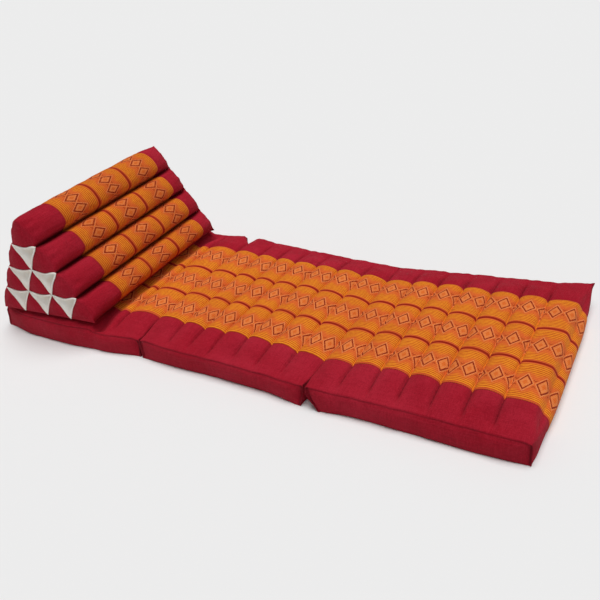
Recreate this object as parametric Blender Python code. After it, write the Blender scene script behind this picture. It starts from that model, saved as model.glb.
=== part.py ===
"""Thai triangle cushion on its three-part fold-out mat, spread out flat.

The mat's three filled segments lie head to foot along X, its width runs along Y, and the
triangle cushion stands across the head segment. Metres, +Z up, the floor at z = 0. Every
body is a filled cover whose sewn channels run across the width. A woven panel is let into
the red cover over each segment, and over the triangle cushion's back and front.
"""

import math

import bmesh
import bpy
import numpy as np
from mathutils import Matrix

# Driving dimensions of the mat
MAT_HALF_WIDTH = 0.390
HEAD_END, GAP_ONE, GAP_TWO, FOOT_END = -1.073, -0.348, 0.360, 1.073
TOP_EDGE = 0.078
CHANNEL_RISE = 0.018
CROWN_RISE = 0.004
SIDE_BULGE = 0.009
END_REACH = 0.060
CORNER_REACH = 0.140
CHANNEL_STEPS = 6

# The woven panel on each segment, and the gap that parts two pieces
BAND_HALF_WIDTH = 0.256
BAND_THICK = 0.0020
CLEARANCE = 0.0004

# Driving dimensions of the triangle cushion, whose end is a grid of four rows of tubes
ROWS = 4
APEX = (-0.760, 0.510)
BACK_FOOT = (-1.024, 0.110)
FRONT_FOOT = (-0.542, 0.110)
WEDGE_BASE = 0.1020
WEDGE_NEAR, WEDGE_FAR = -0.414, 0.352
WEDGE_BAND_HALF = 0.267
WEDGE_SKEW = 0.0633
RIDGE_SLOPE = 0.024
TUBE_BULGE = 0.030
TUBE_ROUNDNESS = 2.4
TUBE_STEPS = 8
END_ROUNDING = 0.070
END_PUFF = 0.010
DIMPLE_DEPTH = 0.036

# The cloth strips that join the three segments and the triangle cushion
STRIP_THICK = 0.0020
STRIP_HALF_LENGTH = 0.335
LOW_STRIP_HEIGHT = 0.0006
HIGH_STRIP_HEIGHT = 0.058

# Finish: colour, roughness
FINISHES = {
    "red_cotton": ((0.37, 0.016, 0.030), 0.85),
    "woven_band": ((0.72, 0.19, 0.025), 0.80),
    "white_cotton": ((0.70, 0.60, 0.52), 0.85),
}

# Segments, head to foot: where each starts and ends, and the height of its first valley
SEGMENTS = {
    "head": (HEAD_END, GAP_ONE, 0.080),
    "middle": (GAP_ONE, GAP_TWO, 0.084),
    "foot": (GAP_TWO, FOOT_END, 0.071),
}

# Channels of each segment, head to foot: width before scaling, height of the valley after it
CHANNELS = {
    "head": [
        (0.098, 0.086), (0.098, 0.086), (0.098, 0.086), (0.098, 0.086),
        (0.097, 0.086), (0.097, 0.085), (0.139, 0.084),
    ],
    "middle": [
        (0.123, 0.085), (0.092, 0.084), (0.090, 0.085), (0.099, 0.086),
        (0.096, 0.085), (0.101, 0.079), (0.103, 0.071),
    ],
    "foot": [
        (0.102, 0.079), (0.099, 0.086), (0.095, 0.086), (0.095, 0.086),
        (0.097, 0.086), (0.098, 0.087), (0.112, 0.072),
    ],
}

# How far each long edge stands out from the straight, at equal steps from head to foot:
# near edge at the floor, near edge at the top, far edge, extra height of the far edge
LONG_EDGES = {
    "head": [
        (0.004, 0.000, 0.000, 0.000),
        (0.026, 0.022, 0.000, 0.000),
        (0.026, 0.022, 0.000, 0.000),
        (0.016, 0.006, 0.004, 0.002),
        (-0.004, -0.012, 0.018, 0.004),
    ],
    "middle": [
        (-0.001, -0.012, 0.014, 0.004),
        (0.000, -0.004, -0.006, 0.000),
        (-0.003, -0.004, -0.020, -0.003),
        (0.001, 0.000, -0.024, -0.008),
        (0.022, 0.010, -0.022, -0.014),
    ],
    "foot": [
        (0.027, 0.010, -0.024, -0.014),
        (0.008, 0.004, -0.018, -0.006),
        (0.009, 0.000, -0.010, -0.001),
        (0.014, 0.000, 0.002, 0.002),
        (0.009, 0.004, 0.028, 0.006),
    ],
}

# How far each short end stands back: top edge, middle, floor edge, then near and far corner
SHORT_ENDS = {
    "head": {
        "start": (0.012, 0.000, 0.006, 0.006, 0.020),
        "end": (0.006, 0.0035, 0.007, 0.000, 0.045),
    },
    "middle": {
        "start": (0.006, 0.0035, 0.007, 0.000, 0.004),
        "end": (0.0024, 0.008, 0.020, 0.000, 0.008),
    },
    "foot": {
        "start": (0.0024, 0.012, 0.036, 0.000, 0.008),
        "end": (0.012, 0.000, 0.010, 0.030, 0.030),
    },
}

# Places across the red border and across the woven panel, as shares of the half width
ACROSS_RED = (1.0, 0.965, 0.90, 0.81, 0.72)
ACROSS_BAND = (0.36, 0.0)

# Heights of the rows on the sides and short ends, as shares of the thickness
LEVELS = (0.0, 0.06, 0.28, 0.52, 0.78, 1.0)


def clear_scene():
    for obj in list(bpy.data.objects):
        bpy.data.objects.remove(obj, do_unlink=True)


def finish(name):
    """The Principled material of one of the three cloths."""
    material = bpy.data.materials.get(name)
    if material is None:
        colour, roughness = FINISHES[name]
        material = bpy.data.materials.new(name)
        material.use_nodes = True
        shader = material.node_tree.nodes["Principled BSDF"]
        shader.inputs["Base Color"].default_value = (*colour, 1.0)
        shader.inputs["Roughness"].default_value = roughness
        shader.inputs["Metallic"].default_value = 0.0
    return material


def add_solid(name, points, faces, cloth):
    """A named object from points and faces, with its faces turned outwards."""
    mesh = bpy.data.meshes.new(name)
    mesh.from_pydata([tuple(p) for p in points], [], [tuple(f) for f in faces])
    shape = bmesh.new()
    shape.from_mesh(mesh)
    bmesh.ops.recalc_face_normals(shape, faces=shape.faces)
    bmesh.ops.triangulate(shape, faces=shape.faces)
    shape.to_mesh(mesh)
    shape.free()
    mesh.materials.append(finish(cloth))
    mesh.shade_smooth()
    mesh.set_sharp_from_angle(angle=math.radians(35))
    obj = bpy.data.objects.new(name, mesh)
    bpy.context.scene.collection.objects.link(obj)
    return obj


def grid_box(counts, place, flat_floor=False):
    """Points and faces of a closed box whose sides are grids; place gives each surface point.

    A flat floor is one face instead of a grid.
    """
    nx, ny, nz = counts
    index, points, faces = {}, [], []

    def at(i, j, k):
        if (i, j, k) not in index:
            index[i, j, k] = len(points)
            points.append(place(i, j, k))
        return index[i, j, k]

    for k in (nz - 1,) if flat_floor else (0, nz - 1):
        for i in range(nx - 1):
            for j in range(ny - 1):
                faces.append((at(i, j, k), at(i + 1, j, k), at(i + 1, j + 1, k), at(i, j + 1, k)))
    for j in (0, ny - 1):
        for i in range(nx - 1):
            for k in range(nz - 1):
                faces.append((at(i, j, k), at(i + 1, j, k), at(i + 1, j, k + 1), at(i, j, k + 1)))
    for i in (0, nx - 1):
        for j in range(ny - 1):
            for k in range(nz - 1):
                faces.append((at(i, j, k), at(i, j + 1, k), at(i, j + 1, k + 1), at(i, j, k + 1)))
    if flat_floor:
        rim = [(i, 0) for i in range(nx)] + [(nx - 1, j) for j in range(1, ny)]
        rim += [(i, ny - 1) for i in range(nx - 2, -1, -1)] + [(0, j) for j in range(ny - 2, 0, -1)]
        faces.append([at(i, j, 0) for i, j in rim])
    return points, faces


def ease(t):
    """Smooth step from 0 to 1."""
    t = min(1.0, max(0.0, t))
    return t * t * (3 - 2 * t)


def mix(low, high, share):
    return low * (1 - share) + high * share


def table_value(rows, column, s):
    """A column of a table read smoothly at s, from 0 at its first row to 1 at its last."""
    place = s * (len(rows) - 1)
    row = min(int(place), len(rows) - 2)
    return mix(rows[row][column], rows[row + 1][column], ease(place - row))


def channel_stations(segment):
    """(x, chord height, arch from 0 at a valley to 1 at a crown) at each station along a segment."""
    start, end, valley = SEGMENTS[segment]
    rows = CHANNELS[segment]
    scale = (end - start) / sum(width for width, _ in rows)
    x = start
    stations = [(x, valley, 0.0)]
    for width, next_valley in rows:
        for step in range(1, CHANNEL_STEPS + 1):
            t = step / CHANNEL_STEPS
            arch = 1 - (2 * t - 1) ** 2
            stations.append((x + width * scale * t, mix(valley, next_valley, t), arch))
        x, valley = x + width * scale, next_valley
    return stations


def pressed_share(x):
    """1 where the triangle cushion presses the head segment flat, 0 in front of it."""
    return ease((FRONT_FOOT[0] + 0.012 - x) / 0.024) * ease((x - HEAD_END - 0.004) / 0.03)


def mat_top(segment, station, across):
    """Height of a segment's top at a channel station and a place across, from -1 to 1."""
    x, chord, arch = station
    start, end, _ = SEGMENTS[segment]
    s = (x - start) / (end - start)
    inset = 1 - abs(across)
    edge = TOP_EDGE - 0.006 * (1 - ease(min(x - start, end - x) / 0.03))
    if across > 0:
        edge += table_value(LONG_EDGES[segment], 3, s)
    rise = CHANNEL_RISE * arch * mix(0.12, 1.0, ease(inset / 0.26))
    crown = CROWN_RISE * (1 - across * across)
    height = mix(edge, chord, ease(inset / 0.30)) + crown + rise
    if segment == "head":
        bearing = WEDGE_BASE - CLEARANCE
        pressed = mix(edge, bearing, ease(inset / 0.09))
        share = pressed_share(x)
        height = min(mix(height, pressed, share), mix(1.0, bearing, share > 0))
    return height


def side_place(segment, s, across, level):
    """Y of a point across the segment, at a height share from 0 at the floor to 1 at the top."""
    rows = LONG_EDGES[segment]
    if across < 0:
        out = mix(table_value(rows, 0, s), table_value(rows, 1, s), level)
    else:
        out = table_value(rows, 2, s) * mix(0.4, 1.0, level)
    bulge = SIDE_BULGE * 4 * level * (1 - level) * ease(min(s, 1 - s) / 0.12)
    return across * (MAT_HALF_WIDTH + out + bulge)


def end_setback(segment, end, across, level):
    """How far a short end stands back at a height share, with its two corners drawn in."""
    top, middle, floor, near_corner, far_corner = SHORT_ENDS[segment][end]
    bulge = (middle - (top + floor) / 2) * 4 * level * (1 - level)
    corner = near_corner if across < 0 else far_corner
    return mix(floor, top, level) + bulge + corner * (1 - ease((1 - abs(across)) / CORNER_REACH))


def mat_point(segment, station, across, level, sunk=0.0, end=None):
    """A point of a segment's surface, sunk below it where a woven panel is let in.

    end names the short end that the point lies on, if any.
    """
    start, stop, _ = SEGMENTS[segment]
    x = station[0]
    s = (x - start) / (stop - start)
    at_start = 1 - ease((x - start) / END_REACH)
    at_end = 1 - ease((stop - x) / END_REACH)
    shift = at_start * end_setback(segment, "start", across, level)
    shift -= at_end * end_setback(segment, "end", across, level)
    if end == "start":
        shift += sunk
    elif end == "end":
        shift -= sunk
    top = mat_top(segment, station, across)
    z = level * top - (sunk if level == 1.0 else 0.0)
    return (x + shift, side_place(segment, s, across, level), z)


def end_of(i, count):
    """Which short end a station lies on, if any."""
    return {0: "start", count - 1: "end"}.get(i)


def mat_rows():
    """(place across, whether it lies in the woven panel's pocket), near edge to far edge."""
    seam = BAND_HALF_WIDTH / MAT_HALF_WIDTH
    foot = seam - CLEARANCE / MAT_HALF_WIDTH
    near = [(-a, False) for a in (*ACROSS_RED, seam)]
    near += [(-a, True) for a in (foot, *ACROSS_BAND)]
    return near + [(-a, low) for a, low in reversed(near[:-1])]


def add_mat(segment):
    """One filled segment: red cover, boxed sides, channels, and a pocket for the woven panel."""
    stations = channel_stations(segment)
    rows = mat_rows()
    count = len(stations)

    def place(i, j, k):
        across, low = rows[j]
        sunk = BAND_THICK + CLEARANCE if low else 0.0
        return mat_point(segment, stations[i], across, LEVELS[k], sunk, end_of(i, count))

    points, faces = grid_box((count, len(rows), len(LEVELS)), place, flat_floor=True)
    return add_solid(f"mat_{segment}", points, faces, "red_cotton")


def add_mat_band(segment):
    """The woven panel over a segment: up one short end, over all channels, down the other."""
    stations = channel_stations(segment)
    last = len(stations) - 1
    path = [(0, level) for level in LEVELS[1:-1]]
    path += [(i, 1.0) for i in range(last + 1)]
    path += [(last, level) for level in reversed(LEVELS[1:-1])]
    edge = (BAND_HALF_WIDTH - 2 * CLEARANCE) / MAT_HALF_WIDTH
    rows = [-edge, *(-a for a in ACROSS_BAND), ACROSS_BAND[0], edge]

    def place(i, j, k):
        station, level = path[i]
        sunk = BAND_THICK * (1 - k)
        end = end_of(station, last + 1)
        return mat_point(segment, stations[station], rows[j], level, sunk, end)

    points, faces = grid_box((len(path), len(rows), 2), place)
    return add_solid(f"band_{segment}", points, faces, "woven_band")


def add_joining_strip(name, before, after, height):
    """The cloth strip sewn between two segments' short ends, at a height in their gap."""
    across = [STRIP_HALF_LENGTH / MAT_HALF_WIDTH * (j / 6 - 1) for j in range(13)]
    first, last = channel_stations(after)[0], channel_stations(before)[-1]
    sides = [(before, "end", last), (after, "start", first)]

    def place(i, j, k):
        segment, end, station = sides[i]
        z = height + STRIP_THICK * k
        setback = end_setback(segment, end, across[j], z / mat_top(segment, station, across[j]))
        inward = CLEARANCE - setback if i == 0 else setback - CLEARANCE
        return (station[0] + inward, across[j] * MAT_HALF_WIDTH, z)

    points, faces = grid_box((2, len(across), 2), place)
    return add_solid(name, points, faces, "red_cotton")


def add_wedge_strip():
    """The cloth strip that joins the triangle cushion's back foot to the head end's top."""
    stations = [s for s in channel_stations("head") if s[0] < BACK_FOOT[0] + 0.02]
    across = [STRIP_HALF_LENGTH / MAT_HALF_WIDTH * (j / 6 - 1) for j in range(13)]
    reach = np.linspace(HEAD_END + 0.016, BACK_FOOT[0] - 0.004, 4)
    knots = [s[0] for s in stations]

    def place(i, j, k):
        tops = [mat_top("head", s, across[j]) for s in stations]
        z = np.interp(reach[i], knots, tops) + 0.0012 + STRIP_THICK * k
        return (reach[i], across[j] * MAT_HALF_WIDTH, z)

    points, faces = grid_box((len(reach), len(across), 2), place)
    return add_solid("strip_cushion", points, faces, "red_cotton")


def grid_corner(row, column):
    """A corner of the triangle cushion's end grid, as (x, z)."""
    apex, back, front = np.array(APEX), np.array(BACK_FOOT), np.array(FRONT_FOOT)
    across = column / row if row else 0.0
    return apex + row / ROWS * ((back - apex) + across * (front - back))


def wedge_outline():
    """(outline point, grid point under it, side) all round the cushion's cross-section."""
    sides = {
        "back": [grid_corner(row, 0) for row in range(ROWS + 1)],
        "base": [grid_corner(ROWS, column) for column in range(ROWS + 1)],
        "front": [grid_corner(row, row) for row in range(ROWS, -1, -1)],
    }
    middle = np.mean([APEX, BACK_FOOT, FRONT_FOOT], axis=0)
    outline = []
    for side, corners in sides.items():
        for first, second in zip(corners, corners[1:]):
            along = second - first
            normal = np.array([along[1], -along[0]]) / np.linalg.norm(along)
            if normal @ (first - middle) < 0:
                normal = -normal
            for step in range(TUBE_STEPS):
                t = step / TUBE_STEPS
                arch = 1 - abs(2 * t - 1) ** TUBE_ROUNDNESS
                base = first + along * t
                point = base + normal * TUBE_BULGE * arch
                point[1] = max(point[1], WEDGE_BASE)
                outline.append((point, base, side))
    return outline


def outline_normals(points):
    """Outward normals of a closed outline."""
    ahead = np.roll(points, -1, axis=0) - points
    behind = points - np.roll(points, 1, axis=0)
    ahead /= np.linalg.norm(ahead, axis=1)[:, None]
    behind /= np.linalg.norm(behind, axis=1)[:, None]
    along = ahead + behind
    along /= np.linalg.norm(along, axis=1)[:, None]
    normal = np.stack([along[:, 1], -along[:, 0]], axis=1)
    if np.sum((points - points.mean(axis=0)) * normal) < 0:
        normal = -normal
    return normal


def settled(x, y, z):
    """A point of the cushion, whose ends stand askew and whose ridge sinks to the far end."""
    sink = RIDGE_SLOPE * y * (z - WEDGE_BASE) / (APEX[1] - WEDGE_BASE)
    return (x, y + WEDGE_SKEW * (x - BACK_FOOT[0]), z - sink)


def under_band(outline):
    """Whether each outline point lies under the woven panel, which covers back and front."""
    per_side = len(outline) // 3
    inside = []
    for n, (_, _, side) in enumerate(outline):
        step = n % per_side
        on_back = side == "back" and step < per_side - 1
        on_front = side == "front" and step > 1
        inside.append(on_back or on_front)
    return inside


def wedge_rings():
    """(y, share of the tubes' roundness, whether in the panel's pocket), near end to far end."""
    angles = [math.radians(a) for a in (90, 68, 45, 22, 0)]
    near = [(WEDGE_NEAR + END_ROUNDING * (1 - math.sin(a)), math.cos(a), False) for a in angles]
    far = [(WEDGE_FAR - END_ROUNDING * (1 - math.sin(a)), math.cos(a), False) for a in angles]
    seam, foot = WEDGE_BAND_HALF, WEDGE_BAND_HALF - CLEARANCE
    middle = [(-seam, 1.0, False), (-foot, 1.0, True), (foot, 1.0, True), (seam, 1.0, False)]
    return near + middle + far[::-1]


def dimple_places():
    """Grid row and column of each white dimple, top to bottom."""
    return [(row, column) for row in range(1, ROWS) for column in range(row)]


def end_faces(points, ring, y, outward):
    """Faces that close one end: a puffed face on each tube and a deep pocket between tubes.

    The points that they need besides the ring's are added to points.
    """
    per_side = len(ring) // 3
    index = {}
    for row in range(ROWS + 1):
        for column in range(row + 1):
            if column == 0:
                index[row, column] = ring[row * TUBE_STEPS]
            elif row == ROWS:
                index[row, column] = ring[per_side + column * TUBE_STEPS]
            elif column == row:
                index[row, column] = ring[2 * per_side + (ROWS - row) * TUBE_STEPS]
            else:
                x, z = grid_corner(row, column)
                points.append(settled(x, y, z))
                index[row, column] = len(points) - 1
    place = {point: n for n, point in enumerate(ring)}

    def edge(a, b):
        """Points from grid corner a up to, and without, b, by way of the ring where they share it."""
        first, second = place.get(index[a]), place.get(index[b])
        if first is None or second is None:
            return [index[a]]
        for turn in (1, -1):
            if (second - first) * turn % len(ring) == TUBE_STEPS:
                return [ring[(first + turn * n) % len(ring)] for n in range(TUBE_STEPS)]
        return [index[a]]

    faces = []

    def fan(corners, depth):
        loop = []
        for a, b in zip(corners, corners[1:] + corners[:1]):
            loop += edge(a, b)
        hub = np.mean([grid_corner(*corner) for corner in corners], axis=0)
        points.append(settled(hub[0], y + outward * depth, hub[1]))
        for first, second in zip(loop, loop[1:] + loop[:1]):
            faces.append((first, second, len(points) - 1))

    for row in range(ROWS):
        for column in range(row + 1):
            fan([(row, column), (row + 1, column), (row + 1, column + 1)], END_PUFF)
    for row, column in dimple_places():
        fan([(row, column), (row, column + 1), (row + 1, column + 1)], -DIMPLE_DEPTH)
    return faces


def outline_arrays():
    """The cushion's outline, the grid points under it, and its normals, as arrays."""
    outline = wedge_outline()
    full = np.array([point for point, _, _ in outline])
    base = np.array([below for _, below, _ in outline])
    return outline, full, base, outline_normals(full)


def add_wedge_body():
    """The triangle cushion: ten tubes in one filled cover, with six pockets sunk in each end."""
    outline, full, base, normals = outline_arrays()
    inside = np.array(under_band(outline))
    sunk = full - normals * (BAND_THICK + CLEARANCE)
    pocket = np.where(inside[:, None], sunk, full)
    points, rings, faces = [], [], []
    for y, share, low in wedge_rings():
        section = pocket if low else base + (full - base) * share
        rings.append([len(points) + n for n in range(len(section))])
        points += [settled(x, y, z) for x, z in section]
    for first, second in zip(rings, rings[1:]):
        for n in range(len(outline)):
            m = (n + 1) % len(outline)
            faces.append((first[n], first[m], second[m], second[n]))
    faces += end_faces(points, rings[0], WEDGE_NEAR, -1.0)
    faces += end_faces(points, rings[-1], WEDGE_FAR, 1.0)
    return add_solid("wedge_body", points, faces, "red_cotton")


def add_wedge_band():
    """The woven panel on the triangle cushion: one sheet up its back and down its front."""
    outline, full, _, normals = outline_arrays()
    sunk = full - normals * BAND_THICK
    inside = under_band(outline)
    count = len(outline)
    start = next(n for n in range(count) if inside[n] and not inside[n - 1])
    order = [n % count for n in range(start, start + sum(inside))]
    half = WEDGE_BAND_HALF - 2 * CLEARANCE
    trim = 0.05

    def place(i, j, k):
        line = full if k else sunk
        x, z = line[order[i]]
        if i in (0, len(order) - 1):
            inner = line[order[1 if i == 0 else -2]]
            x, z = mix(x, inner[0], trim), mix(z, inner[1], trim)
        return settled(x, half * (2 * j - 1), z)

    points, faces = grid_box((len(order), 2, 2), place)
    return add_solid("wedge_band", points, faces, "woven_band")


def add_dimple(name, row, column, y, outward):
    """A white cloth cup in one end pocket, its folded edge standing a little proud."""
    places = [(row, column), (row, column + 1), (row + 1, column + 1)]
    corners = np.array([grid_corner(*place) for place in places])
    centre = corners.mean(axis=0)
    inner_radius = np.linalg.norm(corners[1] - corners[0]) / (2 * math.sqrt(3))
    # Rings of the rim: distance in from the pocket's edge, and out from the end's plane
    rim = [(0.0016, 0.0), (0.0024, 0.0030), (0.0052, 0.0006)]
    points = []
    for inset, out in rim:
        ring = centre + (corners - centre) * (1 - inset / inner_radius)
        points += [settled(x, y + outward * out, z) for x, z in ring]
    for short in (0.0012, 0.0045):
        points.append(settled(centre[0], y - outward * (DIMPLE_DEPTH - short), centre[1]))
    faces = []
    for n in range(3):
        m = (n + 1) % 3
        faces.append((n, m, 9))
        faces.append((n, m, 3 + m, 3 + n))
        faces.append((3 + n, 3 + m, 6 + m, 6 + n))
        faces.append((6 + n, 6 + m, 10))
    return add_solid(name, points, faces, "white_cotton")


def centre_on_floor():
    """Moves every piece together, so that the whole stands on z = 0 about the origin."""
    meshes = [obj.data for obj in bpy.data.objects]
    points = np.array([vertex.co for mesh in meshes for vertex in mesh.vertices])
    low, high = points.min(axis=0), points.max(axis=0)
    shift = (-(low[0] + high[0]) / 2, -(low[1] + high[1]) / 2, -low[2])
    for mesh in meshes:
        mesh.transform(Matrix.Translation(shift))
    print("moved by", [round(float(v), 5) for v in shift])


def main():
    clear_scene()
    for segment in SEGMENTS:
        add_mat(segment)
        add_mat_band(segment)
    add_joining_strip("strip_low", "head", "middle", LOW_STRIP_HEIGHT)
    add_joining_strip("strip_high", "middle", "foot", HIGH_STRIP_HEIGHT)
    add_wedge_strip()
    add_wedge_body()
    add_wedge_band()
    for number, (row, column) in enumerate(dimple_places(), start=1):
        add_dimple(f"dimple_near_{number}", row, column, WEDGE_NEAR, -1.0)
        add_dimple(f"dimple_far_{number}", row, column, WEDGE_FAR, 1.0)
    centre_on_floor()


main()
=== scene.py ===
# A Thai triangle cushion lying across its folding mat: cotton covers, woven panels, white cups.
import math

import bpy
import numpy as np
from mathutils import Matrix, Vector


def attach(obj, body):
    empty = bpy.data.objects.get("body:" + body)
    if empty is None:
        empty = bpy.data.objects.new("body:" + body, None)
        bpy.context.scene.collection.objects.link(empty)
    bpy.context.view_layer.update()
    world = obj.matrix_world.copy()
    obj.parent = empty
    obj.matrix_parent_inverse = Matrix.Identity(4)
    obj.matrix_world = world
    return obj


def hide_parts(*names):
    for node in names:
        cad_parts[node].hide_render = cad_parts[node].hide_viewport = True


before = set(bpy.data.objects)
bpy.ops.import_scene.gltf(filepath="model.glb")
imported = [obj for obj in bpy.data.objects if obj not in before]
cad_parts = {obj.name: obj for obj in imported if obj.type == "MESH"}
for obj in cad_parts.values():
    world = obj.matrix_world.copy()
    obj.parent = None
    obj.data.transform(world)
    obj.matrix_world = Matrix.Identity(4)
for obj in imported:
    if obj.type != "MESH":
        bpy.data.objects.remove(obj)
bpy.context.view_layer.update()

centred = np.array((-0.00004, 0.00245, 0.0))  # how far the part was moved to stand centred on the floor
chance = np.random.default_rng(27)            # the one source of unevenness, seeded


# Shared curves and grids

def ease(t):
    # smooth step: 3 t squared less 2 t cubed, with t held between 0 and 1
    t = np.clip(t, 0.0, 1.0)
    return t * t * (3 - 2 * t)


def bell(distance, half):
    # 1 where the distance is 0, and falling to both sides: exp of -(distance / half) squared
    return np.exp(-(distance / half) ** 2)


def mix(low, high, share):
    return low + (high - low) * share


def tableAt(rows, column, s):
    # a table's column read at s from 0 to 1, easing from each row to the next
    values = np.array([row[column] for row in rows])
    place = s * (len(rows) - 1)
    row = np.clip(place.astype(int), 0, len(rows) - 2)
    return mix(values[row], values[row + 1], ease(place - row))


def spaced(knots, gap):
    # places from knot to knot, evenly, and no further apart than the gap
    runs = [np.linspace(a, b, math.ceil((b - a) / gap - 1e-6) + 1)[:-1] for a, b in zip(knots, knots[1:])]
    return np.append(np.concatenate(runs), knots[-1])


def ripple(places, waves, lines):
    # for each line its own sum of sines of random pitch and phase along the places, from -1 to 1
    pitch = chance.uniform(*waves, (lines, 6, 1))
    phase = chance.uniform(0, 2 * np.pi, (lines, 6, 1))
    return np.sin(places * 2 * np.pi / pitch + phase).sum(axis=1) / 3.2


def lumps(x, y, pitches, count=14):
    # unevenness of the filling: a sum of plane waves of random heading, pitch and phase
    total = 0.0
    for _ in range(count):
        heading, phase = chance.uniform(0, 2 * np.pi, 2)
        pitch = chance.uniform(*pitches)
        total = total + np.sin((x * np.cos(heading) + y * np.sin(heading)) * 2 * np.pi / pitch + phase)
    return total / math.sqrt(count)


def boxGrid(nx, ny, nz):
    # the skin of a block of points: each one's number or -1, and its quads, which all face out
    skin = np.ones((nx, ny, nz), bool)
    skin[1:-1, 1:-1, 1:-1] = False
    number = np.full(skin.shape, -1)
    number[skin] = np.arange(skin.sum())
    quads = []
    for axis in range(3):
        for side in (0, -1):
            face = np.take(number, side, axis=axis)
            quad = np.stack([face[:-1, :-1], face[1:, :-1], face[1:, 1:], face[:-1, 1:]], -1).reshape(-1, 4)
            turnOver = side == (-1 if axis == 1 else 0)
            quads.append(quad[:, ::-1] if turnOver else quad)
    return number, np.concatenate(quads)


def gridNormals(grid):
    # unit cross product of the differences along and across a grid of points
    normal = np.cross(np.gradient(grid, axis=0), np.gradient(grid, axis=1))
    return normal / np.linalg.norm(normal, axis=-1, keepdims=True)


def pathLength(grid):
    # distance along each line of a grid, from its first point
    steps = np.linalg.norm(np.diff(grid, axis=0), axis=-1)
    return np.concatenate([np.zeros((1, grid.shape[1])), np.cumsum(steps, axis=0)])


def addPiece(name, points, faces, material, uv=None, sewn=None):
    # one mesh from arrays of points and of faces, each face array having its own count of corners. The shade
    # values, from 0 to 1 at each point, are painted shade that darkens the cloth in creases and where it is
    # drawn into a seam, and a painted shadow where it lies against the front foot
    mesh = bpy.data.meshes.new(name)
    loops = np.concatenate([f.ravel() for f in faces])
    sizes = np.concatenate([np.full(len(f), f.shape[1]) for f in faces])
    mesh.vertices.add(len(points))
    mesh.vertices.foreach_set("co", (points + centred).astype(np.float32).ravel())
    mesh.loops.add(len(loops))
    mesh.loops.foreach_set("vertex_index", loops.astype(np.int32))
    mesh.polygons.add(len(sizes))
    mesh.polygons.foreach_set("loop_start", np.concatenate([[0], np.cumsum(sizes)[:-1]]).astype(np.int32))
    mesh.update(calc_edges=True)
    if uv is not None:
        layer = mesh.uv_layers.new(name="cloth")
        layer.data.foreach_set("uv", uv[loops].astype(np.float32).ravel())
    if sewn is not None:
        layer = mesh.attributes.new("sewn", "FLOAT", "POINT")
        layer.data.foreach_set("value", sewn.astype(np.float32).ravel())
    mesh.shade_smooth()
    mesh.materials.append(material)
    piece = bpy.data.objects.new(name, mesh)
    bpy.context.scene.collection.objects.link(piece)
    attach(piece, "root")
    return piece


def faceNormals(points, faces):
    # cross product of each face's first two edges, twice as long as a triangle's area
    first = points[faces[:, 0]]
    return np.cross(points[faces[:, 1]] - first, points[faces[:, 2]] - first)


def addSheet(name, node, grid, thickness, material, lift=0.0003, woven=None, sewn=None):
    # a thin closed sheet in a CAD node's place: a grid of points lifted along its normals, thinner at its
    # long edges. woven gives each row's place along the weave from the length walked to it
    normal = gridNormals(grid)
    ny = grid.shape[1]
    side = np.minimum(np.arange(ny), np.arange(ny)[::-1]) / 2
    body = thickness * mix(0.35, 1.0, ease(side))[None, :, None]
    both = np.stack([grid + normal * lift, grid + normal * (lift + body)], axis=2)
    number, quads = boxGrid(grid.shape[0], ny, 2)
    along = pathLength(grid).mean(axis=1)
    across = pathLength(grid.transpose(1, 0, 2)).mean(axis=1)
    weave = along - along[-1] / 2 if woven is None else woven(along)
    u = np.broadcast_to(weave[:, None, None], number.shape)
    v = np.broadcast_to((across - across[-1] / 2)[None, :, None], number.shape)
    uv = np.stack([u, v], -1).reshape(-1, 2)
    sewn = None if sewn is None else np.repeat(sewn.ravel(), 2)
    piece = addPiece(name, both.reshape(-1, 3), [quads], material, uv, sewn)
    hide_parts(node)


# Materials: small helpers first

def newMaterial(name, roughness, sheen):
    material = bpy.data.materials.new(name)
    material.use_nodes = True
    shader = material.node_tree.nodes["Principled BSDF"]
    shader.inputs["Roughness"].default_value = roughness
    shader.inputs["Specular IOR Level"].default_value = 0.10
    shader.inputs["Sheen Weight"].default_value = sheen
    shader.inputs["Sheen Roughness"].default_value = 0.5
    return material, material.node_tree, shader


class Field:
    # one value of a material: + - * / and abs on it each add a node to the tree

    def __init__(self, weaver, socket):
        self.weaver, self.socket = weaver, socket

    def __add__(self, other):
        return self.weaver.sum("ADD", self, other)

    def __sub__(self, other):
        return self.weaver.sum("SUBTRACT", self, other)

    def __rsub__(self, other):
        return self.weaver.sum("SUBTRACT", other, self)

    def __mul__(self, other):
        return self.weaver.sum("MULTIPLY", self, other)

    def __truediv__(self, other):
        return self.weaver.sum("DIVIDE", self, other)

    def __abs__(self):
        return self.weaver.sum("ABSOLUTE", self)


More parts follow.
